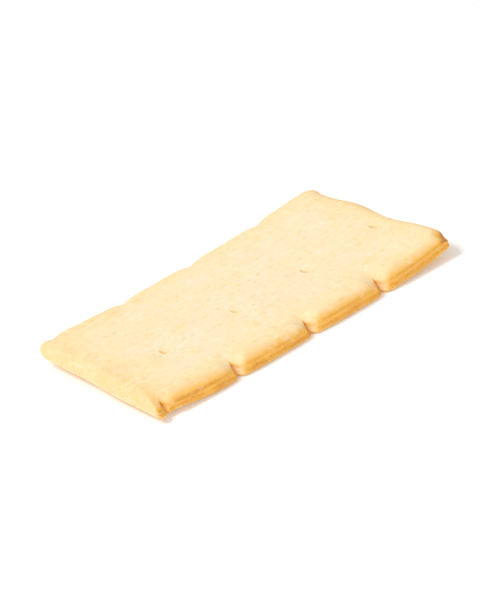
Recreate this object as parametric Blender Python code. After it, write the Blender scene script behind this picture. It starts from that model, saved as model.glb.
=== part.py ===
"""One thin olive oil cracker, lying flat with its paler baked side up.

It was cut from a sheet of dough docked with rows of short slits. The front cut ran straight through a row,
so each slit there is a notch through the edge. The last slit lay on the far front corner, which sank in a
bowl, and takes a shallow bite out of the far edge there. The rear cut ran just inside a row and only nicks
it. A third row crosses the middle of the top. Baking drew the dough in round the slits, lifted both short
ends a little and left a flat foot under the middle, which narrows from the front edge to the rear one.

+X runs along the cracker, -Y is its notched edge and +Z is up. Its box is centred on the origin in X and Y,
and it stands on Z = 0.
"""

import math
import random

import bmesh
import bpy
from mathutils import Vector, noise

MM = 0.001

# Overall size
LENGTH = 45.5 * MM
WIDTH = 33.2 * MM
THICKNESS = 2.6 * MM
REAR_SHORTER = 2.0 * MM

# How far the ends curl up, and half the length of the flat foot along the front and the rear edge
NEAR_LIFT = 0.45 * MM
FAR_FRONT_LIFT = 1.3 * MM
FAR_REAR_LIFT = 0.9 * MM
FRONT_FOOT = 11.0 * MM
REAR_FOOT = 2.0 * MM

# Corner radii: near and far are the two ends along X, front and rear the two long edges
NEAR_FRONT_RADIUS = 0.8 * MM
FAR_FRONT_RADIUS = 0.7 * MM
NEAR_REAR_RADIUS = 2.4 * MM
FAR_REAR_RADIUS = 2.1 * MM

# Cross-section of the edge: a rounded shoulder above, an upright wall with a seam, a small heel below
SHOULDER_REACH = 1.8 * MM
SHOULDER_DROP = 1.15 * MM
PILLOW_REACH = 4.5 * MM
PILLOW_DROP = 0.22 * MM
HEEL_REACH = 0.9 * MM
HEEL_RISE = 0.42 * MM
SEAM_HEIGHT = 0.45
SEAM_SPREAD = 0.18
SEAM_DEPTH = 0.10 * MM
SEAM_WANDER = 0.22
SEAM_WANDER_SIZE = 5.0 * MM
SEAM_SEED = 9.2

# Docking slits: long across the cracker, in rows along it, a little astray
SLIT_PITCH = 11.05 * MM
SLIT_LENGTH = 1.5 * MM
SLIT_WIDTH = 0.42 * MM
SLIT_DEPTH = 0.9 * MM
SLIT_TAPER = 0.6
SLIT_STRAY = 0.15 * MM
STRAY_SEED = 11

# Where a cut crosses a slit it opens into a notch, and at the far front corner into a bite
NOTCH_LENGTH = 3.4 * MM
NOTCH_WIDTH = 1.05 * MM
NOTCH_INSIDE = 0.35 * MM
NOTCH_DRIFT = 0.12 * MM
FIRST_NOTCH = 1.3 * MM
NOTCH_COUNT = 4
BITE_LENGTH = 2.2 * MM
BITE_WIDTH = 1.2 * MM
BITE_INSIDE = 0.8 * MM
MIDDLE_ROW_SHIFT = -3.5 * MM
MIDDLE_ROW_FROM_FRONT = 12.9 * MM
NICK_SHIFT = 1.3 * MM
NICK_OUTSIDE = 0.85 * MM

# How far the dough sank and drew in round the slits
NOTCH_DIP = 1.0 * MM
NICK_DIP = 0.9 * MM
SLIT_DIP = 0.2 * MM
DIP_HALF_WIDTH = 1.2 * MM
DIP_HALF_LENGTH = 2.1 * MM
BOWL_DEPTH = 1.4 * MM
BOWL_HALF_WIDTH = 2.3 * MM
BOWL_HALF_LENGTH = 2.4 * MM
BOWL_POWER = 4
FRONT_SCALLOP = 0.75 * MM
FOOT_SCALLOP = 0.5
REAR_SCALLOP = 0.35 * MM
SCALLOP_REACH = 1.0 * MM
DRAW_REACH = 1.6 * MM

# Slow unevenness of the short edges and of the top
NEAR_WAVE = 0.16 * MM
FAR_WAVE = 0.65 * MM
WAVELENGTH = 17.0 * MM
NEAR_WAVE_START = 0.6
FAR_WAVE_START = 2.975
SWELL = 0.12 * MM
SWELL_SIZE = 8.5 * MM
SWELL_SEED = 3.7

# Fineness of the mesh
LENGTH_STEPS = 52
WIDTH_STEPS = 34
WALL_STEPS = 6
NOTCH_CROWDING = 0.6
EDGE_CROWDING = 0.55
CUTTER_SIDES = 14
CUTTER_SPARE = 1.0 * MM
SMOOTH_ANGLE = math.radians(40)

CRUST_COLOUR = (0.88, 0.66, 0.36, 1.0)
CRUST_ROUGHNESS = 0.75

HALF_LENGTH = LENGTH / 2
HALF_WIDTH = WIDTH / 2
ROW_START = -HALF_LENGTH + FIRST_NOTCH


def slit_rows():
    """The centres of the notches, the middle slits, the rear nicks, the bite and the sunken corner's bowl."""
    stray = random.Random(STRAY_SEED)

    def row(shift, y, drift=0.0):
        return [
            (
                ROW_START + shift + index * SLIT_PITCH + stray.uniform(-1, 1) * SLIT_STRAY,
                y + index * drift,
            )
            for index in range(NOTCH_COUNT)
        ]

    notches = row(0.0, -HALF_WIDTH + NOTCH_INSIDE, NOTCH_DRIFT)
    middle = row(SLIT_PITCH + MIDDLE_ROW_SHIFT, -HALF_WIDTH + MIDDLE_ROW_FROM_FRONT)
    nicks = row(NICK_SHIFT, HALF_WIDTH + NICK_OUTSIDE)
    last = ROW_START + NOTCH_COUNT * SLIT_PITCH
    return notches, middle, nicks, (last, -HALF_WIDTH + BITE_INSIDE), (last, -HALF_WIDTH)


NOTCHES, MIDDLE_SLITS, NICKS, BITE, BOWL = slit_rows()
SUNKEN = ((NOTCHES, NOTCH_DIP), (NICKS, NICK_DIP), (MIDDLE_SLITS, SLIT_DIP))


def clear_scene():
    for scene_object in list(bpy.data.objects):
        bpy.data.objects.remove(scene_object, do_unlink=True)


def new_collection(name):
    collection = bpy.data.collections.new(name)
    bpy.context.scene.collection.children.link(collection)
    return collection


def crust_material():
    material = bpy.data.materials.new("baked_crust")
    material.use_nodes = True
    shader = material.node_tree.nodes["Principled BSDF"]
    shader.inputs["Base Color"].default_value = CRUST_COLOUR
    shader.inputs["Roughness"].default_value = CRUST_ROUGHNESS
    shader.inputs["Metallic"].default_value = 0.0
    material.diffuse_color = CRUST_COLOUR
    return material


def along(share):
    """X of a share from -1 to 1 of the length, with the steps crowded where the notches are."""

    def crowded(x):
        turns = (x - ROW_START) / SLIT_PITCH
        return turns - NOTCH_CROWDING * math.sin(math.tau * turns) / math.tau

    start, end = crowded(-HALF_LENGTH), crowded(HALF_LENGTH)
    reached = (crowded(HALF_LENGTH * share) - start) / (end - start)
    return HALF_LENGTH * (2 * reached - 1)


def across(share):
    """Y of a share from -1 to 1 of the width, with the steps crowded towards both long edges."""
    bent = math.sin(share * math.pi / 2)
    return HALF_WIDTH * (EDGE_CROWDING * bent + (1 - EDGE_CROWDING) * share)


def corner_radius(x, y):
    if x < 0:
        return NEAR_FRONT_RADIUS if y < 0 else NEAR_REAR_RADIUS
    return FAR_FRONT_RADIUS if y < 0 else FAR_REAR_RADIUS


def with_round_corner(x, y, inset):
    """The plan point of a square-cornered one, drawn in by inset at the outline and bent round its corner."""
    half_length, half_width = HALF_LENGTH - inset, HALF_WIDTH - inset
    x, y = x * half_length / HALF_LENGTH, y * half_width / HALF_WIDTH
    radius = corner_radius(x, y) - inset
    past_x = abs(x) - (half_length - radius)
    past_y = abs(y) - (half_width - radius)
    if past_x <= 0 or past_y <= 0:
        return x, y
    pull = max(past_x, past_y) / math.hypot(past_x, past_y)
    round_x = half_length - radius + past_x * pull
    round_y = half_width - radius + past_y * pull
    return math.copysign(round_x, x), math.copysign(round_y, y)


def scallops(x, row, depth):
    """How far a long edge draws in at x, in a cusp at each slit of its row."""
    return depth * max(math.exp(-abs(x - slit_x) / SCALLOP_REACH) for slit_x, _ in row)


def wave(y, depth, start):
    return depth * (0.5 + 0.5 * math.sin(math.tau * y / WAVELENGTH + start))


def drawn_in(x, y, height_share):
    """The plan point moved by what the edges draw in: less so further in, and at the foot of the front."""

    def fading(distance):
        return math.exp(-max(distance, 0) / DRAW_REACH)

    front = scallops(x, NOTCHES, FRONT_SCALLOP) * fading(y + HALF_WIDTH)
    front *= FOOT_SCALLOP + (1 - FOOT_SCALLOP) * height_share
    rear = scallops(x, NICKS, REAR_SCALLOP) * fading(HALF_WIDTH - y)
    near = wave(y, NEAR_WAVE, NEAR_WAVE_START) * fading(x + HALF_LENGTH)
    far = wave(y, FAR_WAVE, FAR_WAVE_START) * fading(HALF_LENGTH - x)
    return x + near - far, y + front - rear


def tapered(x, y):
    """X drawn in towards the rear edge, which is a little shorter than the front one."""
    return x * (1 - REAR_SHORTER / LENGTH * (y + HALF_WIDTH) / WIDTH)


def lift(x, y):
    """Rise of the underside: level on a foot that narrows to the rear, curling up to each end beyond it."""
    rearwards = (y + HALF_WIDTH) / WIDTH
    foot = FRONT_FOOT + (REAR_FOOT - FRONT_FOOT) * rearwards
    far_lift = FAR_FRONT_LIFT + (FAR_REAR_LIFT - FAR_FRONT_LIFT) * rearwards
    beyond = max(abs(x) - foot, 0) / (HALF_LENGTH - foot)
    return (NEAR_LIFT if x < 0 else far_lift) * beyond**2


def rounded(distance, reach, height):
    """Fall of an edge with a quarter-ellipse section, at a distance in from the outline."""
    if distance >= reach:
        return 0.0
    return height * (1 - math.sqrt(1 - (1 - distance / reach) ** 2))


def pillow(distance):
    return PILLOW_DROP * math.exp(-((distance / PILLOW_REACH) ** 2))


def dip(x, y):
    """How far the top sinks round the nearest slit."""

    def nearness(centre):
        sideways = (x - centre[0]) / DIP_HALF_WIDTH
        lengthways = (y - centre[1]) / DIP_HALF_LENGTH
        return math.exp(-(sideways**2) - lengthways**2)

    return max(depth * nearness(centre) for row, depth in SUNKEN for centre in row)


def bowl(x, y):
    """How far the top sinks at the far front corner."""
    sideways = (x - BOWL[0]) / BOWL_HALF_WIDTH
    lengthways = (y - BOWL[1]) / BOWL_HALF_LENGTH
    return BOWL_DEPTH * math.exp(-(math.hypot(sideways, lengthways) ** BOWL_POWER))


def swell(x, y):
    return SWELL * noise.noise(Vector((x / SWELL_SIZE, y / SWELL_SIZE, SWELL_SEED)))


def top_height(x, y, distance):
    fall = math.hypot(rounded(distance, SHOULDER_REACH, SHOULDER_DROP), dip(x, y))
    fall = (fall**4 + bowl(x, y) ** 4) ** 0.25
    return lift(x, y) + THICKNESS - fall - pillow(distance) + swell(x, y)


def underside_height(x, y, distance):
    return lift(x, y) + rounded(distance, HEEL_REACH, HEEL_RISE)


def seam(x, y, height_share):
    """How far the wall draws in at its seam, which wanders up and down round the cracker."""
    place = Vector((x / SEAM_WANDER_SIZE, y / SEAM_WANDER_SIZE, SEAM_SEED))
    middle = SEAM_HEIGHT + SEAM_WANDER * noise.noise(place)
    return SEAM_DEPTH * math.exp(-(((height_share - middle) / SEAM_SPREAD) ** 2))


def shaped(unit):
    """The point of the cracker that a point on the surface of a 2 x 2 x 2 cube becomes."""
    x, y = along(unit.x), across(unit.y)
    distance = min(HALF_LENGTH - abs(x), HALF_WIDTH - abs(y))
    height_share = (unit.z + 1) / 2
    inset = seam(x, y, height_share) if distance <= 0 else 0.0
    plan_x, plan_y = drawn_in(*with_round_corner(x, y, inset), height_share)
    bottom = underside_height(plan_x, plan_y, distance)
    top = top_height(plan_x, plan_y, distance)
    height = bottom + (top - bottom) * height_share
    return Vector((tapered(plan_x, plan_y), plan_y, height))


def subdivide_along(mesh, axis, steps):
    edges = [
        edge
        for edge in mesh.edges
        if abs(edge.verts[0].co[axis] - edge.verts[1].co[axis]) > 0.5
    ]
    bmesh.ops.subdivide_edges(mesh, edges=edges, cuts=steps - 1, use_grid_fill=True)


def build_cracker(collection):
    """A cube cut into steps along each axis, with every vertex moved to its place on the cracker."""
    mesh = bmesh.new()
    bmesh.ops.create_cube(mesh, size=2)
    subdivide_along(mesh, 0, LENGTH_STEPS)
    subdivide_along(mesh, 1, WIDTH_STEPS)
    subdivide_along(mesh, 2, WALL_STEPS)
    for vertex in mesh.verts:
        vertex.co = shaped(vertex.co)
    data = bpy.data.meshes.new("cracker")
    mesh.to_mesh(data)
    mesh.free()
    data.materials.append(crust_material())
    cracker = bpy.data.objects.new("cracker", data)
    collection.objects.link(cracker)
    return cracker


def build_cutter(collection, name, centre, width, length, floor):
    """An upright blade with an oval section, narrower at its foot, from floor to clear above the top."""
    ceiling = THICKNESS + FAR_FRONT_LIFT + CUTTER_SPARE
    mesh = bmesh.new()
    bmesh.ops.create_cone(
        mesh,
        cap_ends=True,
        segments=CUTTER_SIDES,
        radius1=SLIT_TAPER / 2,
        radius2=0.5,
        depth=ceiling - floor,
    )
    bmesh.ops.scale(mesh, vec=(width, length, 1), verts=mesh.verts)
    data = bpy.data.meshes.new(name)
    mesh.to_mesh(data)
    mesh.free()
    cutter = bpy.data.objects.new(name, data)
    cutter.location = (tapered(*centre), centre[1], (floor + ceiling) / 2)
    cutter.hide_render = True
    cutter.display_type = "WIRE"
    collection.objects.link(cutter)


def build_cutters(collection):
    through = -CUTTER_SPARE
    for index, centre in enumerate(NOTCHES):
        name = f"notch_{index + 1}"
        build_cutter(collection, name, centre, NOTCH_WIDTH, NOTCH_LENGTH, through)
    for index, centre in enumerate(NICKS):
        name = f"nick_{index + 1}"
        build_cutter(collection, name, centre, NOTCH_WIDTH, NOTCH_LENGTH, through)
    build_cutter(collection, "bite", BITE, BITE_WIDTH, BITE_LENGTH, through)
    for index, centre in enumerate(MIDDLE_SLITS):
        name = f"slit_{index + 1}"
        floor = lift(*centre) + THICKNESS - SLIT_DIP - SLIT_DEPTH
        build_cutter(collection, name, centre, SLIT_WIDTH, SLIT_LENGTH, floor)


def cut_slits(cracker, cutters):
    cut = cracker.modifiers.new("slits", "BOOLEAN")
    cut.operation = "DIFFERENCE"
    cut.solver = "EXACT"
    cut.operand_type = "COLLECTION"
    cut.collection = cutters


def main():
    clear_scene()
    parts = new_collection("olive_oil_cracker")
    cutters = new_collection("slit_cutters")
    cracker = build_cracker(parts)
    build_cutters(cutters)
    cut_slits(cracker, cutters)
    cracker.data.shade_smooth()
    cracker.data.set_sharp_from_angle(angle=SMOOTH_ANGLE)


main()
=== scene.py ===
"""Looks of one thin olive oil cracker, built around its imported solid.

The cracker is baked in one piece, so one fine mesh stands for the solid. It follows the same outline, slits,
notches and curl, with its corners fitted a little closer. It adds what the solid leaves out: blisters, pits,
grain, crumbly cut sides and soft lips round the slits. +X runs along the cracker, -Y is its notched edge and
+Z is up. Sizes are in metres.
"""

from __future__ import annotations

import logging
import math
import random
from collections.abc import Mapping, Sequence
from dataclasses import dataclass, field
from enum import Enum

import bmesh
import bpy
import numpy as np
import numpy.typing as npt
from mathutils import Matrix, Vector, noise


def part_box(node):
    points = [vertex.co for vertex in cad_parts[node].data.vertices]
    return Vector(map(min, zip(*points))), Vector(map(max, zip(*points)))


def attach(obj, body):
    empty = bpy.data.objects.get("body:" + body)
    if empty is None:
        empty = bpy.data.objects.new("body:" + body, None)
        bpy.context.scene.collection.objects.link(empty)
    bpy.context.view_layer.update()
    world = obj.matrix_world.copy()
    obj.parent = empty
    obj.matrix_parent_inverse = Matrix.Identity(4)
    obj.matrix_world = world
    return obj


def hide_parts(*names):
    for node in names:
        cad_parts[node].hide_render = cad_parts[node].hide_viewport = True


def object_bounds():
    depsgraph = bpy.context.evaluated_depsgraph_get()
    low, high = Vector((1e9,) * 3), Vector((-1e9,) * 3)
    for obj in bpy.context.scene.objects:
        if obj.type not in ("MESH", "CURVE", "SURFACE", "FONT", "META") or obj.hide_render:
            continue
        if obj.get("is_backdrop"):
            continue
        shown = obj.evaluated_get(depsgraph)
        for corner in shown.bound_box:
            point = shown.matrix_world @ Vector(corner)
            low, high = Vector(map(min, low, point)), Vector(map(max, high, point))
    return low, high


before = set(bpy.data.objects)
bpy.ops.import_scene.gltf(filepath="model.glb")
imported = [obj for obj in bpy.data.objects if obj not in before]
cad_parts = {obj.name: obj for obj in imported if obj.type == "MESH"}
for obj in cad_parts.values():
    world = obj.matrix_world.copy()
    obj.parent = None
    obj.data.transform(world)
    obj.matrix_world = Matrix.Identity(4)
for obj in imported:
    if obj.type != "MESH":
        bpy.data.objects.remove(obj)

Array = npt.NDArray[np.float64]
Colour = tuple[float, float, float]
Span = tuple[float, float]
Sockets = Mapping[str | int, "Value | float | Sequence[float]"]
MM = 0.001
TINY = 1e-6
NOISE_MIDDLE = 0.5
CUBE_SIDE = 2.0
NODE = "cracker"
BODY = "root"
# How brown the crust is at each point, painted shade included, held on the mesh.
BAKE_AND_SHADE = "bake_and_shade"
CRUMB = "crumb"

log = logging.getLogger("cracker")


class Region(Enum):
    """The three sides of the cracker that its surface belongs to."""

    TOP = 1.0
    WALL = 0.0
    UNDERSIDE = -1.0


class Blend(Enum):
    """How one colour is laid over another."""

    OVER = "MIX"
    STAIN = "MULTIPLY"


class Value:
    """A shader socket that stands for its value in Python expressions."""

    def __init__(self, graph: Graph, socket: bpy.types.NodeSocket) -> None:
        """Keeps the socket and the graph that new nodes go into."""
        self.graph = graph
        self.socket = socket

    def _maths(self, operation: str, first: Value | float, second: Value | float) -> Value:
        """Adds a Math node for two operands and gives its result."""
        return self.graph.node("ShaderNodeMath", {"operation": operation}, {0: first, 1: second})

    def __add__(self, other: Value | float) -> Value:
        """self + other."""
        return self._maths("ADD", self, other)

    def __radd__(self, other: float) -> Value:
        """other + self."""
        return self._maths("ADD", other, self)

    def __sub__(self, other: Value | float) -> Value:
        """self - other."""
        return self._maths("SUBTRACT", self, other)

    def __rsub__(self, other: float) -> Value:
        """other - self."""
        return self._maths("SUBTRACT", other, self)

    def __mul__(self, other: Value | float) -> Value:
        """self * other."""
        return self._maths("MULTIPLY", self, other)

    def __rmul__(self, other: float) -> Value:
        """other * self."""
        return self._maths("MULTIPLY", other, self)

    def between(self, low: float, high: float) -> Value:
        """0 where the value is low and 1 where it is high, with an even rise between and no more beyond."""
        return self.graph.node("ShaderNodeMapRange", {}, {"Value": self, "From Min": low, "From Max": high})


class Graph:
    """The node tree of one material, with its Principled BSDF."""

    def __init__(self, name: str) -> None:
        """Makes the material and finds its shader.

        Args:
            name: the material's name.
        """
        self.material = bpy.data.materials.new(name)
        self.material.use_nodes = True
        self.nodes = self.material.node_tree.nodes
        self.links = self.material.node_tree.links
        self.shader = self.nodes["Principled BSDF"]

    def feed(self, socket: bpy.types.NodeSocket, value: Value | float | Sequence[float]) -> None:
        """Sets a socket, or links it where the value is a Value.

        Args:
            socket: the input to set.
            value: a number, a colour or a Value.
        """
        if isinstance(value, Value):
            self.links.new(value.socket, socket)
        elif isinstance(value, Sequence) and socket.type == "RGBA":
            socket.default_value = (*value, 1.0)
        else:
            socket.default_value = value

    def fill(self, node: bpy.types.Node, sockets: Sockets) -> None:
        """Sets or links several inputs of a node, by name or by place."""
        for name, value in sockets.items():
            self.feed(node.inputs[name], value)

    def node(
        self, kind: str, settings: Mapping[str, object], sockets: Sockets, output: str | int = 0
    ) -> Value:
        """Adds a node.

        Args:
            kind: the node's type, such as ShaderNodeTexNoise.
            settings: its properties, which are set first; stops holds a ramp's positions and colours.
            sockets: what each input gets, by name or by place.
            output: the output that is wanted.

        Returns:
            The output as a Value.
        """
        made = self.nodes.new(kind)
        for name, setting in settings.items():
            if name == "stops":
                self._set_stops(made.color_ramp, setting)
            else:
                setattr(made, name, setting)
        self.fill(made, sockets)
        return Value(self, made.outputs[output])

    @staticmethod
    def _set_stops(ramp: bpy.types.ColorRamp, stops: Sequence[tuple[float, Colour]]) -> None:
        """Gives a colour ramp its stops, of which it starts with two.

        Args:
            ramp: the node's ramp.
            stops: the position and colour of each stop, in order.
        """
        while len(ramp.elements) < len(stops):
            ramp.elements.new(1.0)
        for element, (position, colour) in zip(ramp.elements, stops):
            element.position = position
            element.color = (*colour, 1.0)

    def grain(self, place: Value, size: float, detail: float, roughness: float = 0.5) -> Value:
        """Noise from 0 to 1 at a place, by a bump's width and the number and strength of finer layers."""
        sockets = {"Vector": place, "Scale": 1 / size, "Detail": detail, "Roughness": roughness}
        return self.node("ShaderNodeTexNoise", {}, sockets, "Fac")

    def from_dots(self, place: Value, spacing: float) -> Value:
        """Distance to the nearest of many scattered dots, as a share of their spacing in metres."""
        return self.node("ShaderNodeTexVoronoi", {}, {"Vector": place, "Scale": 1 / spacing}, "Distance")

    def mix(self, share: Value | float, under: Value | Colour, over: Value | Colour, blend: Blend) -> Value:
        """Lays one colour over another, of which a share shows."""
        settings = {"data_type": "RGBA", "blend_type": blend.value}
        return self.node("ShaderNodeMix", settings, {0: share, 6: under, 7: over}, 2)

    def attribute(self, name: str) -> Value:
        """A number that the mesh holds at each of its points."""
        return self.node("ShaderNodeAttribute", {"attribute_name": name}, {}, "Fac")

    def object_place(self) -> Value:
        """The point on the surface, in the object's own metres."""
        return self.node("ShaderNodeTexCoord", {}, {}, "Object")


@dataclass(frozen=True)
class BakedCrust:
    """Dry matt crust, cream through gold to dark brown as it bakes; the darkest browns are also painted
    shade.

    Each span holds the noise, or the distance, where a mask starts and where it is full.
    """

    cream: Colour = (0.905, 0.743, 0.505)
    straw: Colour = (0.912, 0.712, 0.405)
    pale_gold: Colour = (0.912, 0.625, 0.300)
    honey: Colour = (0.905, 0.575, 0.222)
    gold: Colour = (0.92, 0.505, 0.095)
    # The two darkest stops are partly a deep crust colour, partly painted shade in the notches and corner.
    amber: Colour = (0.76, 0.35, 0.06)
    toasted_and_shaded: Colour = (0.40, 0.155, 0.025)
    mottle_size: float = 3.4 * MM
    mottle_browning: float = 0.20
    mottle_roughness: float = 0.16
    grain_size: float = 0.22 * MM
    grain_browning: float = 0.12
    freckle: Colour = (0.965, 0.87, 0.70)
    freckle_size: float = 0.8 * MM
    freckle_span: Span = (0.58, 0.74)
    freckle_share: float = 0.8
    flour: Colour = (0.94, 0.87, 0.73)
    flour_span: Span = (0.44, 0.30)
    flour_share: float = 0.30
    flour_off_crumb: float = 0.2
    pit_spacing: float = 1.1 * MM
    pit_span: Span = (0.17, 0.08)
    pitted_span: Span = (0.48, 0.60)
    pit_browning: float = 0.14
    roughness: float = 0.72
    specular: float = 0.3
    bump_height: float = 0.06 * MM
    bump_strength: float = 0.5
    grain_share: float = 0.6
    crumb_share: float = 0.9
    freckle_bump: float = 0.6
    pit_bump: float = 0.9
    softness: float = 0.12
    soft_spread: Colour = (1.0, 0.55, 0.25)
    soft_depth: float = 0.5 * MM

    def material(self) -> bpy.types.Material:
        """Builds the crust from the bake and crumb that the mesh holds.

        Returns:
            The material.
        """
        graph = Graph("baked_crust")
        place = graph.object_place()
        bake_and_shade, crumb = graph.attribute(BAKE_AND_SHADE), graph.attribute(CRUMB)
        mottle = graph.grain(place, self.mottle_size, detail=3.0) - NOISE_MIDDLE
        speckle = graph.grain(place, self.freckle_size, detail=2.0)
        grain = graph.grain(place, self.grain_size, detail=2.0, roughness=0.6)
        pit = graph.from_dots(place, self.pit_spacing).between(*self.pit_span)
        pit = pit * speckle.between(*self.pitted_span)
        # The brown that the mesh holds includes painted shade; mottle and grain go on top.
        browned_and_shaded = bake_and_shade + self.mottle_browning * mottle + self.grain_browning * (grain - NOISE_MIDDLE)
        stops = (
            (0.02, self.cream),
            (0.14, self.straw),
            (0.30, self.pale_gold),
            (0.46, self.honey),
            (0.70, self.gold),
            (0.86, self.amber),
            (1.0, self.toasted_and_shaded),
        )
        baked = {"Fac": browned_and_shaded + self.pit_browning * pit}
        crust = graph.node("ShaderNodeValToRGB", {"stops": stops}, baked)
        freckled = self.freckle_share * speckle.between(*self.freckle_span)
        crust = graph.mix(freckled, crust, self.freckle, Blend.STAIN)
        dusty = (self.flour_share - self.flour_off_crumb * crumb) * speckle.between(*self.flour_span)
        height = grain * (self.grain_share + self.crumb_share * crumb) + self.freckle_bump * speckle
        bump = {"Strength": self.bump_strength, "Distance": self.bump_height}
        bump["Height"] = height - self.pit_bump * pit
        graph.shader.subsurface_method = "RANDOM_WALK"
        sockets = {
            "Base Color": graph.mix(dusty, crust, self.flour, Blend.OVER),
            "Roughness": self.roughness + self.mottle_roughness * mottle,
            "Normal": graph.node("ShaderNodeBump", {}, bump),
            "Subsurface Weight": self.softness,
            "Subsurface Radius": self.soft_spread,
            "Subsurface Scale": self.soft_depth,
            "Specular IOR Level": self.specular,
        }
        graph.fill(graph.shader, sockets)
        return graph.material


@dataclass(frozen=True)
class PaleFloor:
    """Plain white studio board with a faint tooth, which glows a little so that it stays white."""

    white: Colour = (0.885, 0.885, 0.885)
    shade: Colour = (0.855, 0.855, 0.855)
    roughness: float = 0.85
    tooth_size: float = 0.9 * MM
    glow: float = 0.18

    def material(self) -> bpy.types.Material:
        """Builds the board's material.

        Returns:
            The material.
        """
        graph = Graph("pale_floor")
        tooth = graph.grain(graph.object_place(), self.tooth_size, detail=1.0)
        sockets = {
            "Base Color": graph.mix(tooth, self.white, self.shade, Blend.OVER),
            "Roughness": self.roughness,
            "Emission Color": self.white,
            "Emission Strength": self.glow,
        }
        graph.fill(graph.shader, sockets)
        return graph.material


@dataclass(frozen=True)
class Size:
    """The cracker's overall size before its edges draw in."""

    length: float = 45.5 * MM
    width: float = 33.2 * MM
    thickness: float = 2.6 * MM

    @property
    def half_length(self) -> float:
        """Half of the length."""
        return self.length / 2

    @property
    def half_width(self) -> float:
        """Half of the width."""
        return self.width / 2

    def rearwards(self, y: Array) -> Array:
        """0 at the front edge and 1 at the rear one."""
        return y / self.width + 0.5

    def inwards(self, x: Array, y: Array) -> Array:
        """How far in from the nearest edge each point of the plain oblong is."""
        return np.minimum(self.half_length - np.abs(x), self.half_width - np.abs(y))


@dataclass(frozen=True)
class Slit:
    """The centre of one docking slit, seen from above."""

    x: float
    y: float

    def away(self, x: Array, y: Array, half_width: float, half_length: float) -> Array:
        """Distance from the slit, as a share of the half width and half length of an ellipse round it."""
        return np.hypot((x - self.x) / half_width, (y - self.y) / half_length)


@dataclass
class Docking:
    """The rows of short slits that the sheet of dough was docked with, and how the cuts crossed them."""

    size: Size
    pitch: float = 11.05 * MM
    stray: float = 0.15 * MM
    stray_seed: int = 11
    first_notch: float = 1.3 * MM
    first_shift: float = 0.5 * MM
    notch_count: int = 4
    notch_inside: float = 0.35 * MM
    notch_drift: float = 0.12 * MM
    bite_inside: float = 0.8 * MM
    corner_shift: float = 0.8 * MM
    middle_shift: float = -3.5 * MM
    middle_from_front: float = 12.9 * MM
    nick_shift: float = 1.3 * MM
    nick_outside: float = 0.85 * MM
    notch_dip: float = 1.0 * MM
    nick_dip: float = 0.9 * MM
    slit_dip: float = 0.2 * MM
    dip_half_width: float = 1.2 * MM
    dip_half_length: float = 2.1 * MM
    bowl_depth: float = 1.4 * MM
    bowl_half_width: float = 2.3 * MM
    bowl_half_length: float = 2.4 * MM
    bowl_power: float = 4.0
    slit_half_width: float = 0.21 * MM
    slit_half_length: float = 0.75 * MM

    def __post_init__(self) -> None:
        """Places the rows in the order that their stray is drawn in."""
        draw = random.Random(self.stray_seed)
        front, rear = -self.size.half_width, self.size.half_width
        start = self.first_notch - self.size.half_length
        self.notches = self._row(draw, start, front + self.notch_inside, self.notch_drift)
        self.notches[0] = Slit(self.notches[0].x + self.first_shift, self.notches[0].y)
        middle_start = start + self.pitch + self.middle_shift
        self.middle = self._row(draw, middle_start, front + self.middle_from_front, 0.0)
        self.nicks = self._row(draw, start + self.nick_shift, rear + self.nick_outside, 0.0)
        last = start + self.notch_count * self.pitch
        self.bite = Slit(last, front + self.bite_inside)
        self.corner = Slit(last + self.corner_shift, front)

    def _row(self, draw: random.Random, start: float, y: float, drift: float) -> list[Slit]:
        """One row of slits.

        Args:
            draw: where the stray comes from.
            start: X of the first slit.
            y: Y of the first slit.
            drift: how far Y moves from slit to slit.

        Returns:
            The slits from the near end.
        """
        return [
            Slit(start + index * self.pitch + draw.uniform(-1, 1) * self.stray, y + index * drift)
            for index in range(self.notch_count)
        ]

    def dip(self, x: Array, y: Array) -> Array:
        """How far the top sinks round the nearest slit.

        Args:
            x: plan X.
            y: plan Y.

        Returns:
            The fall at each point.
        """
        rows = ((self.notches, self.notch_dip), (self.nicks, self.nick_dip), (self.middle, self.slit_dip))
        deepest = np.zeros_like(x)
        for row, depth in rows:
            for slit in row:
                away = slit.away(x, y, self.dip_half_width, self.dip_half_length)
                deepest = np.maximum(deepest, depth * np.exp(-(away**2)))
        return deepest

    def in_bowl(self, x: Array, y: Array) -> Array:
        """1 at the far front corner, falling to 0 outside the bowl that it sinks in."""
        away = self.corner.away(x, y, self.bowl_half_width, self.bowl_half_length)
        return np.exp(-(away**self.bowl_power))

    def from_slit(self, x: Array, y: Array) -> Array:
        """Distance to the nearest middle slit, as a share of its half width and half length."""
        halves = (self.slit_half_width, self.slit_half_length)
        return np.min([slit.away(x, y, *halves) for slit in self.middle], axis=0)


def rippled(places: Array) -> Array:
    """Smooth noise from -1 to 1 at rows of X, Y and Z, which are in widths of a bump."""
    return np.array([noise.noise(place) for place in places.tolist()])


@dataclass(frozen=True)
class Ripple:
    """Smooth noise over the plan, with its strength, the width of a bump and one of many patterns."""

    strength: float
    size: float
    pattern: float

    def at(self, x: Array, y: Array) -> Array:
        """A number from minus the strength to the strength at each point."""
        places = np.column_stack([x / self.size, y / self.size, np.full(len(x), self.pattern)])
        return self.strength * rippled(places)


def eased(share: Array) -> Array:
    """A share from 0 to 1 with a soft start and end."""
    share = np.clip(share, 0, 1)
    return share * share * (3 - 2 * share)


def graded(share: Array | float, start: float, end: float) -> Array | float:
    """From start where the share is 0 to end where it is 1, with an even change between."""
    return start + (end - start) * share


def arched(share: Array) -> Array:
    """0 where the share is 0 or 1, rising to 1 halfway between."""
    return 4 * share * (1 - share)


def faded(distance: Array, reach: Array | float) -> Array:
    """1 at no distance, falling at once and ever more slowly, to about a third at reach."""
    return np.exp(-distance / reach)


def humped(distance: Array, reach: float) -> Array:
    """1 at no distance, falling in a soft bell to either side, to about a third at reach."""
    return np.exp(-((distance / reach) ** 2))


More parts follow.
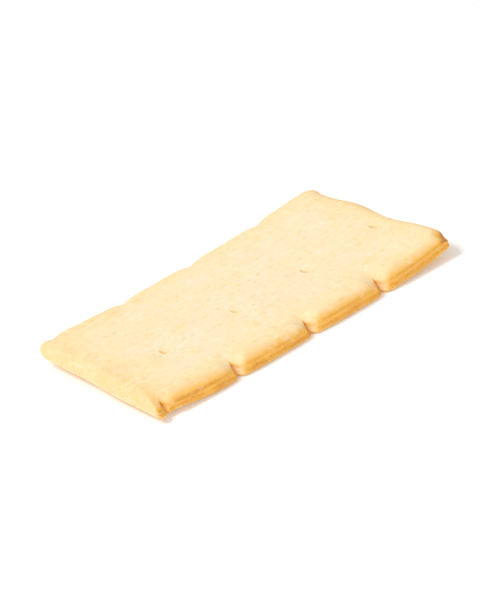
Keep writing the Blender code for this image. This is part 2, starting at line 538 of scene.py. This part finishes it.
@dataclass
class Outline:
    """The outline seen from above.

    It has unlike round corners, cusps at the slits, notches and a bite. The first pillow is drawn in beyond
    its notch, and the far rear corner reaches out.
    """

    size: Size
    docking: Docking
    rear_shorter: float = 2.0 * MM
    near_front_radius: float = 0.8 * MM
    far_front_radius: float = 0.7 * MM
    near_rear_radius: float = 2.4 * MM
    far_rear_radius: float = 2.1 * MM
    front_scallop: float = 0.75 * MM
    foot_scallop: float = 0.5
    rear_scallop: float = 0.6 * MM
    scallop_reach: float = 1.0 * MM
    draw_reach: float = 1.6 * MM
    near_wave: float = 0.16 * MM
    far_wave: float = 0.65 * MM
    wavelength: float = 17.0 * MM
    near_wave_start: float = 0.6
    far_wave_start: float = 2.975
    notch_depth: float = 1.35 * MM
    notch_half_width: float = 0.5 * MM
    notch_power: float = 1.6
    notch_reach: float = 3.2 * MM
    notch_foot_share: float = 0.75
    notch_foot_width: float = 0.6
    first_flank: float = 1.2 * MM
    first_flank_start: float = 1.0 * MM
    first_flank_length: float = 5.0 * MM
    first_flank_top: float = 0.5
    bite_depth: float = 0.2 * MM
    bite_half_length: float = 1.1 * MM
    bite_power: float = 3.0
    rear_tip: float = 0.75 * MM
    rear_tip_length: float = 3.5 * MM

    def rounded(self, x: Array, y: Array, inset: Array) -> tuple[Array, Array]:
        """Draws the oblong in by inset and bends its corners round.

        Args:
            x: plan X of square-cornered points.
            y: plan Y of the same points.
            inset: how far the outline is drawn in at each.

        Returns:
            The new X and Y.
        """
        half_length, half_width = self.size.half_length - inset, self.size.half_width - inset
        x, y = x * half_length / self.size.half_length, y * half_width / self.size.half_width
        near = np.where(y < 0, self.near_front_radius, self.near_rear_radius)
        far = np.where(y < 0, self.far_front_radius, self.far_rear_radius)
        radius = np.where(x < 0, near, far) - inset
        past_x = np.abs(x) - (half_length - radius)
        past_y = np.abs(y) - (half_width - radius)
        corner = (past_x > 0) & (past_y > 0)
        pull = np.maximum(past_x, past_y) / np.hypot(past_x, past_y)
        round_x = np.copysign(half_length - radius + past_x * pull, x)
        round_y = np.copysign(half_width - radius + past_y * pull, y)
        return np.where(corner, round_x, x), np.where(corner, round_y, y)

    def _cusps(self, x: Array, row: Sequence[Slit]) -> Array:
        """How much of its scallop a long edge draws in at x, in a cusp at each slit of its row."""
        return np.max([faded(np.abs(x - slit.x), self.scallop_reach) for slit in row], axis=0)

    def in_notch(self, x: Array, height_share: Array | float) -> Array:
        """How far inside a notch each point lies. A notch is narrower at its foot.

        Args:
            x: plan X.
            height_share: 0 at the underside and 1 at the top.

        Returns:
            1 in the middle of a notch, falling to 0 outside it.
        """
        half_width = self.notch_half_width * graded(height_share, self.notch_foot_width, 1.0)
        from_middle = np.min([np.abs(x - slit.x) for slit in self.docking.notches], axis=0)
        return np.exp(-((from_middle / half_width) ** self.notch_power))

    def in_bite(self, y: Array) -> Array:
        """1 where y is at the middle of the bite, falling to 0 outside it."""
        return np.exp(-(np.abs((y - self.docking.bite.y) / self.bite_half_length) ** self.bite_power))

    def _waved(self, y: Array, depth: float, start: float) -> Array:
        """How far a short edge draws in at y, in a slow wave."""
        return depth * (0.5 + 0.5 * np.sin(math.tau * y / self.wavelength + start))

    def drawn_in(self, x: Array, y: Array, height_share: Array) -> tuple[Array, Array]:
        """Moves the plan by what its edges draw in, which fades inwards.

        Args:
            x: plan X.
            y: plan Y.
            height_share: 0 at the underside and 1 at the top.

        Returns:
            The new X and Y.
        """
        from_front = np.maximum(y + self.size.half_width, 0)
        from_rear = np.maximum(self.size.half_width - y, 0)
        from_near = np.maximum(x + self.size.half_length, 0)
        from_far = np.maximum(self.size.half_length - x, 0)
        scallop = self.front_scallop * graded(height_share, self.foot_scallop, 1.0)
        front = scallop * self._cusps(x, self.docking.notches) * faded(from_front, self.draw_reach)
        depth = self.notch_depth * graded(height_share, self.notch_foot_share, 1.0)
        front += depth * self.in_notch(x, height_share) * faded(from_front, self.notch_reach)
        beyond = x - self.docking.notches[0].x
        flank = self.first_flank * graded(height_share, 1.0, self.first_flank_top)
        flank = flank * eased(beyond / self.first_flank_start) * humped(beyond, self.first_flank_length)
        front += flank * faded(from_front, self.draw_reach)
        rear = self.rear_scallop * self._cusps(x, self.docking.nicks) * faded(from_rear, self.draw_reach)
        near = self._waved(y, self.near_wave, self.near_wave_start) * faded(from_near, self.draw_reach)
        far = self._waved(y, self.far_wave, self.far_wave_start) + self.bite_depth * self.in_bite(y)
        far -= self.rear_tip * humped(from_rear, self.rear_tip_length)
        return x + near - far * faded(from_far, self.draw_reach), y + front - rear

    def tapered(self, x: Array, y: Array) -> Array:
        """X drawn in towards the rear edge, which is a little shorter than the front one."""
        return x * (1 - self.rear_shorter / self.size.length * self.size.rearwards(y))


@dataclass(frozen=True)
class Blister:
    """A low round bubble in the crust."""

    x: float
    y: float
    radius: float
    height: float


@dataclass
class Relief:
    """Heights of the top and of the underside, and how far the wall draws in."""

    size: Size
    docking: Docking
    near_front_lift: float = 0.45 * MM
    near_rear_lift: float = 0.95 * MM
    far_rear_lift: float = 0.9 * MM
    far_front_lift: float = 1.3 * MM
    front_foot: float = 11.0 * MM
    rear_foot: float = 2.0 * MM
    shoulder_reach: float = 1.8 * MM
    shoulder_drop: float = 1.15 * MM
    pillow_reach: float = 4.5 * MM
    pillow_drop: float = 0.22 * MM
    heel_reach: float = 0.9 * MM
    heel_rise: float = 0.42 * MM
    near_front_thinning: float = 0.22 * MM
    near_rear_thinning: float = 0.45 * MM
    near_thinning_reach: float = 4.5 * MM
    seam_height: float = 0.45
    seam_spread: float = 0.18
    seam_depth: float = 0.10 * MM
    seam_wander: Ripple = Ripple(0.22, 5.0 * MM, 9.2)
    shoulder_wander: Ripple = Ripple(0.16, 4.0 * MM, 21.0)
    bowl_join: float = 4.0
    slit_depth: float = 0.55 * MM
    slit_edge: float = 1.3
    slit_slope: float = 0.6
    lip_height: float = 0.07 * MM
    lip_place: float = 1.9
    lip_width: float = 0.6
    blister_count: int = 40
    blister_seed: int = 5
    blister_clear: float = 0.88
    blister_radii: Span = (0.6 * MM, 2.2 * MM)
    blister_heights: Span = (0.04 * MM, 0.12 * MM)
    swell: Ripple = Ripple(0.12 * MM, 8.5 * MM, 3.7)
    coarse_grain: Ripple = Ripple(0.018 * MM, 0.9 * MM, 31.0)
    fine_grain: Ripple = Ripple(0.0108 * MM, 0.42 * MM, 33.0)
    coarse_underside: Ripple = Ripple(0.018 * MM, 1.4 * MM, 41.0)
    fine_underside: Ripple = Ripple(0.018 * MM, 0.6 * MM, 43.0)
    crumb_depth: float = 0.06 * MM
    crumb_size: float = 0.8 * MM
    crumb_layer: float = 0.4 * MM
    crumb_middle: float = 0.5
    fine_crumb: float = 0.6
    fine_crumb_closer: float = 2.3
    fine_crumb_shift: float = 5.0

    def __post_init__(self) -> None:
        """Draws the blisters, clear of the edges."""
        draw = random.Random(self.blister_seed)
        self.blisters = [
            Blister(
                draw.uniform(-1, 1) * self.blister_clear * self.size.half_length,
                draw.uniform(-1, 1) * self.blister_clear * self.size.half_width,
                draw.uniform(*self.blister_radii),
                draw.uniform(*self.blister_heights),
            )
            for _ in range(self.blister_count)
        ]

    def lift(self, x: Array, y: Array) -> Array:
        """Curl of the cracker: level on a foot that narrows to the rear, then up to each end.

        Args:
            x: plan X.
            y: plan Y.

        Returns:
            The rise at each point.
        """
        rearwards = self.size.rearwards(y)
        foot = graded(rearwards, self.front_foot, self.rear_foot)
        near_lift = graded(rearwards, self.near_front_lift, self.near_rear_lift)
        far_lift = graded(rearwards, self.far_front_lift, self.far_rear_lift)
        beyond = np.maximum(np.abs(x) - foot, 0) / (self.size.half_length - foot)
        return np.where(x < 0, near_lift, far_lift) * beyond**2

    def blistered(self, x: Array, y: Array) -> Array:
        """Height of the blisters over the top.

        Args:
            x: plan X.
            y: plan Y.

        Returns:
            The height at each point.
        """
        raised = np.zeros_like(x)
        for blister in self.blisters:
            from_middle = ((x - blister.x) ** 2 + (y - blister.y) ** 2) / blister.radius**2
            raised += blister.height * np.maximum(1 - from_middle, 0) ** 2
        return raised

    @staticmethod
    def _rounded(distance: Array, reach: Array | float, height: float) -> Array:
        """Fall of an edge with a quarter-ellipse section, at a distance in from the outline."""
        inwards = np.clip(1 - distance / reach, 0, 1)
        return height * (1 - np.sqrt(1 - inwards**2))

    def slit_open(self, x: Array, y: Array) -> Array:
        """How open the middle slits are, from 0 outside to 1 inside."""
        return eased((self.slit_edge - self.docking.from_slit(x, y)) / self.slit_slope)

    def top(self, x: Array, y: Array, distance: Array) -> Array:
        """Height of the top.

        Args:
            x: plan X.
            y: plan Y.
            distance: how far in from the outline each point is.

        Returns:
            The height at each point.
        """
        reach = self.shoulder_reach * (1 + self.shoulder_wander.at(x, y))
        fall = np.hypot(self._rounded(distance, reach, self.shoulder_drop), self.docking.dip(x, y))
        bowl = self.docking.bowl_depth * self.docking.in_bowl(x, y)
        fall = (fall**self.bowl_join + bowl**self.bowl_join) ** (1 / self.bowl_join)
        fall += self.pillow_drop * humped(distance, self.pillow_reach)
        fall += self.slit_open(x, y) * self.slit_depth
        lip = humped(self.docking.from_slit(x, y) - self.lip_place, self.lip_width)
        inner = np.clip(distance / self.shoulder_reach, 0, 1)
        raised = self.swell.at(x, y) + inner * self.blistered(x, y) + lip * self.lip_height
        raised += self.coarse_grain.at(x, y) + self.fine_grain.at(x, y)
        return self.lift(x, y) + self.size.thickness - fall + raised

    def underside(self, x: Array, y: Array, distance: Array) -> Array:
        """Height of the underside.

        Args:
            x: plan X.
            y: plan Y.
            distance: how far in from the outline each point is.

        Returns:
            The height at each point.
        """
        rough = self.coarse_underside.at(x, y) + self.fine_underside.at(x, y)
        thinned = graded(self.size.rearwards(y), self.near_front_thinning, self.near_rear_thinning)
        thinned = thinned * humped(x + self.size.half_length, self.near_thinning_reach)
        heel = self._rounded(distance, self.heel_reach, self.heel_rise)
        return self.lift(x, y) + thinned + heel + rough

    def seam(self, x: Array, y: Array, height_share: Array) -> Array:
        """1 on the seam that wanders along the wall, falling to 0 above and below it."""
        return humped(height_share - self.seam_height - self.seam_wander.at(x, y), self.seam_spread)

    def wall_inset(self, x: Array, y: Array, height_share: Array) -> Array:
        """How far the wall draws in, at its seam and between its crumbs.

        Args:
            x: plan X on the outline.
            y: plan Y on the outline.
            height_share: 0 at the foot of the wall and 1 at its top.

        Returns:
            The inset at each point.
        """
        layers = height_share * self.size.thickness / self.crumb_layer
        places = np.column_stack([x / self.crumb_size, y / self.crumb_size, layers])
        finer = places * self.fine_crumb_closer + self.fine_crumb_shift
        crumbs = self.crumb_middle + rippled(places) + self.fine_crumb * rippled(finer)
        seam = self.seam_depth * self.seam(x, y, height_share)
        return seam + self.crumb_depth * arched(height_share) * crumbs


@dataclass
class BrowningAndShade:
    """How brown and crumbly the crust is, by facing and nearness to the edge; partly painted shade."""

    outline: Outline
    relief: Relief
    top_bake: float = 0.05
    # Edge tones are partly a golden crust and partly painted shade; the front edge faces away from the light.
    near: float = 0.09
    front: float = 0.69
    far: float = 0.50
    rear: float = 0.34
    edge_fade: float = 0.5 * MM
    before_notch: float = 2.2 * MM
    before_notch_reach: float = 1.6 * MM
    before_notch_narrowing: float = 0.22 * MM
    border: float = 0.13
    border_fade: float = 4.2 * MM
    top_mottle: Ripple = Ripple(0.04, 9.0 * MM, 51.0)
    blister_gain: float = 0.6
    # Darker inside the open slits: partly crust, partly painted shade in the holes.
    slit_shade: float = 0.3
    # Painted shade: the wall goes a little darker towards its foot.
    foot_shade: float = 0.05
    seam_gain: float = 0.06
    seam_middle: float = 0.5
    seam_mottle: Ripple = Ripple(1.0, 0.5 * MM, 57.0)
    wall_mottle: Ripple = Ripple(0.07, 2.0 * MM, 55.0)
    # Painted shade in the notches and the bite: how dark, how much at the wall's top, and per notch.
    notch_shade: float = 0.93
    notch_shade_at_top: float = 0.35
    notch_shade_shares: tuple[float, ...] = (0.7, 0.85, 0.8, 0.95)
    bite_shade_share: float = 0.6
    edge_share: float = 0.99
    lit_flank_turn: float = 1.3
    # Darker at the inner end of each notch: partly crust, partly painted shade in the crease.
    notch_tip_shade: float = 0.45
    notch_tip_fade: float = 0.45 * MM
    # The sunken far corner: partly a darker crust, partly painted shade down its steep flanks.
    bowl: float = 0.60
    bowl_flank_shade: float = 0.55
    near_glow: float = 0.055
    near_widening: float = 0.7 * MM
    near_fade: float = 8.5 * MM
    under: float = 0.42
    under_rim: float = 0.25
    under_mottle: Ripple = Ripple(0.16, 5.0 * MM, 53.0)
    under_speckle: Ripple = Ripple(0.10, 1.7 * MM, 59.0)
    rim_crumb: float = 0.6
    under_crumb: float = 0.3

    @staticmethod
    def _pick(region: Array, top: Array, wall: Array | float, under: Array | float) -> Array:
        """Each point's value, by the Region that it belongs to."""
        return np.select([region == Region.TOP.value, region == Region.WALL.value], [top, wall], under)

    @staticmethod
    def _facing(normals: Array) -> tuple[Array, Array]:
        """Which way each point faces, seen from above."""
        across = np.maximum(np.hypot(normals[:, 0], normals[:, 1]), TINY)
        return normals[:, 0] / across, normals[:, 1] / across

    def _edge_tone_and_shade(self, normals: Array) -> Array:
        """How brown the edge that each point faces is: partly its crust, partly painted shade.

        Args:
            normals: which way the surface faces at each point.

        Returns:
            The bake of that edge, mixed from two where a corner is faced.
        """
        along_x, along_y = self._facing(normals)
        short = np.where(along_x < 0, self.near, self.far)
        long = np.where(along_y < 0, self.front, self.rear)
        return short * along_x**2 + long * along_y**2

    def _top(self, x: Array, y: Array, distance: Array, sides: Array) -> Array:
        """How brown the top is.

        Args:
            x: plan X.
            y: plan Y.
            distance: how far in from the outline each point is.
            sides: how brown the edge that each point faces is, painted shade included.

        Returns:
            The bake at each point.
        """
        size, docking = self.outline.size, self.outline.docking
        at_near = humped(x + size.half_length, self.near_fade)
        widening = self.near_widening * at_near * np.clip(-y / size.half_width, 0, 1)
        ahead = np.array([slit.x - x for slit in (*docking.notches, docking.corner)]) - self.before_notch
        narrowing = np.max(humped(ahead, self.before_notch_reach), axis=0) * (y < 0)
        fade = self.edge_fade + widening - self.before_notch_narrowing * narrowing
        # Each shoulder takes its edge's tone, painted shade included, fading inwards.
        bake_and_shade = self.top_bake + sides * faded(distance, fade)
        bake_and_shade += self.border * humped(distance, self.border_fade) + self.near_glow * at_near
        bake_and_shade += self.blister_gain * self.relief.blistered(x, y) / MM
        # Darker inside the open slits: partly crust, partly painted shade in the holes.
        bake_and_shade += self.slit_shade * self.relief.slit_open(x, y)
        # Darker at the inner end of each notch: partly crust, partly painted shade in the crease.
        bake_and_shade += self.notch_tip_shade * self.outline.in_notch(x, 1.0) ** 2 * faded(distance, self.notch_tip_fade) * (y < 0)
        return bake_and_shade + self.top_mottle.at(x, y)

    def _notch_shade_share(self, x: Array, y: Array, normals: Array) -> Array:
        """Painted shade on walls in the notches and bite, less on lit flanks past the first notch.

        Args:
            x: plan X before the edges draw in.
            y: plan Y before the edges draw in.
            normals: which way the surface faces at each point.

        Returns:
            A share from 0 to 1.
        """
        size, notches = self.outline.size, self.outline.docking.notches
        nearest = np.argmin([np.abs(x - slit.x) for slit in notches], axis=0)
        notch = np.sqrt(self.outline.in_notch(x, 1.0)) * np.array(self.notch_shade_shares)[nearest]
        at_front = y < -size.half_width * self.edge_share
        at_far = x > size.half_length * self.edge_share
        nearwards = np.minimum(self._facing(normals)[0], 0)
        turned = np.where(nearest == 0, 1.0, np.clip(1 + self.lit_flank_turn * nearwards, 0, 1))
        bite = self.bite_shade_share * self.outline.in_bite(y)
        return np.clip(at_front * notch * turned + at_far * bite, 0, 1)

    def _wall(self, x: Array, y: Array, height_share: Array, sides: Array, notch_shade: Array) -> Array:
        """How brown the wall is, with painted shade towards its foot and in the notches and the bite.

        Args:
            x: plan X before the edges draw in.
            y: plan Y before the edges draw in.
            height_share: 0 at the foot of the wall and 1 at its top.
            sides: how brown the edge that each point faces is, painted shade included.
            notch_shade: how far each point lies inside a notch or the bite.

        Returns:
            The bake at each point.
        """
        foot = 1 - height_share
        # Painted shade: the wall goes a little darker towards its foot.
        bake_and_shade = self.top_bake + sides + self.foot_shade * foot * sides / self.front
        patchy = self.seam_middle + self.seam_mottle.at(x, y)
        bake_and_shade += self.seam_gain * self.relief.seam(x, y, height_share) * patchy
        # Painted shade darkens the wall inside the notches and the bite, most at the foot.
        bake_and_shade += np.clip(self.notch_shade - bake_and_shade, 0, None) * notch_shade * graded(foot, self.notch_shade_at_top, 1.0)
        return bake_and_shade + self.wall_mottle.at(x, y)

    def baked(
        self, places: Array, distance: Array, height_share: Array, region: Array, normals: Array
    ) -> Array:
        """How brown the crust is at each point, painted shade included.

        Args:
            places: plan X and Y of the points before and after the edges draw in, in four columns.
            distance: how far in from the outline each point is.
            height_share: 0 at the underside and 1 at the top.
            region: the value of the Region that each point belongs to.
            normals: which way the surface faces at each point.

        Returns:
            The bake, from 0 to 1.
        """
        grid_x, grid_y, x, y = places.T
        sides = self._edge_tone_and_shade(normals)
        under = self.under + self.under_mottle.at(x, y) + self.under_speckle.at(x, y)
        under += self.under_rim * faded(distance, self.edge_fade)
        top = self._top(x, y, distance, sides)
        # Painted shade, with some darker crust, down the steep flanks of the sunken far corner.
        bowl = self.relief.docking.in_bowl(x, y)
        in_bowl = self.bowl + self.bowl_flank_shade * arched(bowl)
        top = np.maximum(top, top + (in_bowl - top) * np.sqrt(bowl))
        wall = self._wall(grid_x, grid_y, height_share, sides, self._notch_shade_share(grid_x, grid_y, normals))
        return np.clip(self._pick(region, top, wall, under), 0, 1)

    def crumb(self, distance: Array, region: Array) -> Array:
        """How crumbly the crust is at each point, from 0 to 1."""
        return self._pick(region, self.rim_crumb * faded(distance, self.edge_fade), 1.0, self.under_crumb)


@dataclass(frozen=True)
class Crowd:
    """How far to each side grid lines stand closer together, and how much closer."""

    reach: float
    strength: float


@dataclass
class Grid:
    """The grid that the fine mesh is cut into, with closer lines where the form turns sharply."""

    size: Size
    docking: Docking
    length_steps: int = 306
    width_steps: int = 206
    wall_steps: int = 9
    samples: int = 6001
    at_notch: Crowd = Crowd(0.7 * MM, 3.4)
    at_slit: Crowd = Crowd(0.5 * MM, 2.0)
    at_nick: Crowd = Crowd(0.8 * MM, 0.8)
    at_near: Crowd = Crowd(1.2 * MM, 2.0)
    at_far: Crowd = Crowd(1.6 * MM, 2.4)
    at_front: Crowd = Crowd(2.2 * MM, 2.4)
    at_rear: Crowd = Crowd(1.4 * MM, 1.6)
    at_middle_row: Crowd = Crowd(1.2 * MM, 1.0)
    underside_share: float = 0.28
    underside_inner: float = 0.95
    underside_level: float = -0.999

    def __post_init__(self) -> None:
        """Places the lines across the length and across the width."""
        docking, half_length, half_width = self.docking, self.size.half_length, self.size.half_width
        along = [(slit.x, self.at_notch) for slit in docking.notches]
        along += [(slit.x, self.at_slit) for slit in docking.middle]
        along += [(slit.x, self.at_nick) for slit in docking.nicks]
        along += [(-half_length, self.at_near), (half_length, self.at_far)]
        across = [(-half_width, self.at_front), (half_width, self.at_rear)]
        across += [(docking.middle[0].y, self.at_middle_row)]
        self.x_lines = self._lines(half_length, along, self.length_steps)
        self.y_lines = self._lines(half_width, across, self.width_steps)

    def _lines(self, half: float, crowds: Sequence[tuple[float, Crowd]], steps: int) -> Array:
        """Places grid lines.

        Args:
            half: half of the stretch, which is centred on zero.
            crowds: where lines stand closer, and how.
            steps: the number of gaps between lines.

        Returns:
            The places of the lines, in order.
        """
        places = np.linspace(-half, half, self.samples)
        closeness = np.ones_like(places)
        for place, crowd in crowds:
            closeness += crowd.strength * humped(places - place, crowd.reach)
        reached = np.concatenate([[0.0], np.cumsum((closeness[1:] + closeness[:-1]) / 2)])
        return np.interp(np.linspace(0, reached[-1], steps + 1), reached, places)

    def cut_cube(self) -> bpy.types.Mesh:
        """Cuts a cube into the grid's steps along each axis.

        Returns:
            The cube as a mesh.
        """
        work = bmesh.new()
        bmesh.ops.create_cube(work, size=CUBE_SIDE)
        for axis, steps in enumerate((self.length_steps, self.width_steps, self.wall_steps)):
            edges = [
                edge
                for edge in work.edges
                if abs(edge.verts[0].co[axis] - edge.verts[1].co[axis]) > CUBE_SIDE / 2
            ]
            bmesh.ops.subdivide_edges(work, edges=edges, cuts=steps - 1, use_grid_fill=True)
        mesh = bpy.data.meshes.new("baked_cracker")
        work.to_mesh(mesh)
        work.free()
        return mesh

    def spread(self, unit: Array) -> tuple[Array, Array]:
        """The plan X and Y of the grid lines that points of the cube lie on.

        Args:
            unit: the points of the cut cube.

        Returns:
            X and Y.
        """
        column = np.rint((unit[:, 0] / CUBE_SIDE + 0.5) * self.length_steps).astype(int)
        row = np.rint((unit[:, 1] / CUBE_SIDE + 0.5) * self.width_steps).astype(int)
        return self.x_lines[column], self.y_lines[row]

    def thin_underside(self, piece: bpy.types.Object, unit: Array) -> None:
        """Leaves the inner part of the underside with fewer faces.

        Args:
            piece: the object with the shaped mesh.
            unit: the points of the cut cube that its vertices came from.
        """
        inner = np.abs(unit[:, :2]).max(axis=1) < self.underside_inner
        inner &= unit[:, 2] < self.underside_level
        group = piece.vertex_groups.new(name="underside")
        group.add(np.flatnonzero(inner).tolist(), 1.0, "REPLACE")
        thinner = piece.modifiers.new("thinner_underside", "DECIMATE")
        thinner.ratio = self.underside_share
        thinner.vertex_group = group.name
        thinner.use_collapse_triangulate = False
        graph = bpy.context.evaluated_depsgraph_get()
        mesh = bpy.data.meshes.new_from_object(piece.evaluated_get(graph), depsgraph=graph)
        piece.modifiers.clear()
        piece.vertex_groups.clear()
        piece.data = mesh


def add_object(name: str, data: bpy.types.ID) -> bpy.types.Object:
    """Adds an object to the scene.

    Args:
        name: the object's name.
        data: its mesh, light or camera.

    Returns:
        The object.
    """
    made = bpy.data.objects.new(name, data)
    bpy.context.scene.collection.objects.link(made)
    return made


def read_rows(items: bpy.types.bpy_prop_collection, name: str) -> npt.NDArray[np.float32]:
    """Reads three numbers from each item of a mesh.

    Args:
        items: the mesh's vertices or their normals.
        name: the property that holds the numbers, such as co.

    Returns:
        One row for each item.
    """
    values = np.empty(len(items) * 3, np.float32)
    items.foreach_get(name, values)
    return values.reshape(-1, 3)


def keep_in_box(mesh: bpy.types.Mesh) -> None:
    """Moves each vertex that stands outside the solid's box back onto it.

    Args:
        mesh: the cracker's mesh.
    """
    low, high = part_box(NODE)
    places = read_rows(mesh.vertices, "co")
    kept = np.clip(places, np.array(low, np.float32), np.array(high, np.float32))
    mesh.vertices.foreach_set("co", kept.ravel())
    mesh.update()


@dataclass
class Cracker:
    """The whole cracker: the form that its parts give, its fine mesh and its finish."""

    size: Size = Size()
    finish: BakedCrust = BakedCrust()
    docking: Docking = field(init=False)
    outline: Outline = field(init=False)
    relief: Relief = field(init=False)
    browning_and_shade: BrowningAndShade = field(init=False)
    grid: Grid = field(init=False)

    def __post_init__(self) -> None:
        """Makes the parts that the form is worked out from."""
        self.docking = Docking(self.size)
        self.outline = Outline(self.size, self.docking)
        self.relief = Relief(self.size, self.docking)
        self.browning_and_shade = BrowningAndShade(self.outline, self.relief)
        self.grid = Grid(self.size, self.docking)

    def _shape(self, mesh: bpy.types.Mesh, unit: Array) -> None:
        """Moves the vertices of the cut cube to their places on the cracker, and writes their bake and crumb.

        Args:
            mesh: the cut cube.
            unit: its points.
        """
        grid_x, grid_y = self.grid.spread(unit)
        distance = self.size.inwards(grid_x, grid_y)
        height_share = unit[:, 2] / CUBE_SIDE + 0.5
        rim = distance < TINY
        inset = np.zeros_like(grid_x)
        inset[rim] = self.relief.wall_inset(grid_x[rim], grid_y[rim], height_share[rim])
        x, y = self.outline.drawn_in(*self.outline.rounded(grid_x, grid_y, inset), height_share)
        low, high = self.relief.underside(x, y, distance), self.relief.top(x, y, distance)
        z = low + (high - low) * height_share
        places = np.column_stack([self.outline.tapered(x, y), y, z])
        mesh.vertices.foreach_set("co", places.astype(np.float32).ravel())
        keep_in_box(mesh)
        flat = np.where(height_share > 0.5, Region.TOP.value, Region.UNDERSIDE.value)
        region = np.where(rim, Region.WALL.value, flat)
        plan = np.column_stack([grid_x, grid_y, x, y])
        normals = read_rows(mesh.vertex_normals, "vector")
        bake_and_shade = self.browning_and_shade.baked(plan, distance, height_share, region, normals)
        for name, values in ((BAKE_AND_SHADE, bake_and_shade), (CRUMB, self.browning_and_shade.crumb(distance, region))):
            mesh.attributes.new(name, "FLOAT", "POINT").data.foreach_set("value", values.astype(np.float32))

    def build(self) -> bpy.types.Object:
        """Builds the fine mesh.

        Returns:
            The cracker's object, in the place of its solid.
        """
        mesh = self.grid.cut_cube()
        unit = read_rows(mesh.vertices, "co").astype(np.float64)
        self._shape(mesh, unit)
        piece = add_object("baked_cracker", mesh)
        self.grid.thin_underside(piece, unit)
        keep_in_box(piece.data)
        piece.data.shade_smooth()
        return piece

    def dress(self, piece: bpy.types.Object) -> None:
        """Gives the cracker its crust, hangs it under its body and hides the solid that it stands for.

        Args:
            piece: the cracker's object.
        """
        piece.data.materials.clear()
        piece.data.materials.append(self.finish.material())
        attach(piece, BODY)
        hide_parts(NODE)
        triangles = sum(len(face.vertices) - 2 for face in piece.data.polygons)
        log.info("%s: %d triangles", piece.name, triangles)


@dataclass(frozen=True)
class SoftLight:
    """A square soft light that faces the cracker."""

    name: str
    place: tuple[float, float, float]
    size: float
    power: float

    def hang(self) -> None:
        """Hangs the light."""
        lamp = bpy.data.lights.new(self.name, "AREA")
        lamp.size = self.size
        lamp.energy = self.power
        light = add_object(self.name, lamp)
        light.location = self.place
        light.rotation_euler = Vector(self.place).to_track_quat("Z", "Y").to_euler()


@dataclass
class Studio:
    """The pale floor, the soft light and the camera."""

    floor_half: float = 1.2
    view_azimuth: float = math.radians(23.2)
    view_elevation: float = math.radians(23.5)
    view_roll: float = math.radians(20.4)
    view_distance: float = 0.9
    view_width: float = 0.0600
    frame_aspect: float = 480 / 600
    lights: tuple[SoftLight, ...] = (
        SoftLight("key_light", place=(-0.38, 0.22, 0.70), size=0.34, power=4.05),
        SoftLight("fill_light", place=(-0.18, -0.79, 0.23), size=0.5, power=1.3),
    )
    sky: Colour = (1.0, 0.995, 0.985)
    sky_strength: float = 0.62
    floor_finish: PaleFloor = PaleFloor()

    def build_floor(self) -> None:
        """Lays the floor."""
        work = bmesh.new()
        bmesh.ops.create_grid(work, x_segments=1, y_segments=1, size=self.floor_half)
        mesh = bpy.data.meshes.new("studio_floor")
        work.to_mesh(mesh)
        work.free()
        mesh.materials.append(self.floor_finish.material())
        floor = add_object("studio_floor", mesh)
        floor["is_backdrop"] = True

    def build_light(self) -> None:
        """Hangs the lights and sets the sky."""
        for light in self.lights:
            light.hang()
        world = bpy.data.worlds.new("soft_sky")
        world.use_nodes = True
        background = world.node_tree.nodes["Background"]
        background.inputs["Color"].default_value = (*self.sky, 1.0)
        background.inputs["Strength"].default_value = self.sky_strength
        bpy.context.scene.world = world

    def build_camera(self, centre: Vector) -> None:
        """Sets the camera at the photograph's angle, with the long side rising to the right.

        Args:
            centre: the middle of the cracker.
        """
        side, rise = self.view_azimuth, self.view_elevation
        back = Vector((-math.sin(side) * math.cos(rise), -math.cos(side) * math.cos(rise), math.sin(rise)))
        right = Vector((math.cos(side), -math.sin(side), 0.0))
        upright = Matrix((right, back.cross(right), back)).transposed().to_4x4()
        lens = bpy.data.cameras.new("camera")
        lens.lens = lens.sensor_width * self.view_distance * self.frame_aspect / self.view_width
        camera = add_object("camera", lens)
        turned = upright @ Matrix.Rotation(-self.view_roll, 4, "Z")
        camera.matrix_world = Matrix.Translation(centre + back * self.view_distance) @ turned
        bpy.context.scene.camera = camera
        bpy.context.scene.view_settings.view_transform = "Standard"

    def build(self, centre: Vector) -> None:
        """Builds the whole studio.

        Args:
            centre: the middle of the cracker.
        """
        self.build_floor()
        self.build_light()
        self.build_camera(centre)
        log.info("studio: floor, %d lights, sky and camera", len(self.lights))


def main() -> None:
    """Builds the cracker, then the studio round it."""
    logging.basicConfig(level=logging.INFO, format="%(name)s: %(message)s")
    solid_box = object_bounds()
    cracker = Cracker()
    piece = cracker.build()
    cracker.dress(piece)
    Studio().build((solid_box[0] + solid_box[1]) / 2)


if __name__ == "__main__":
    main()
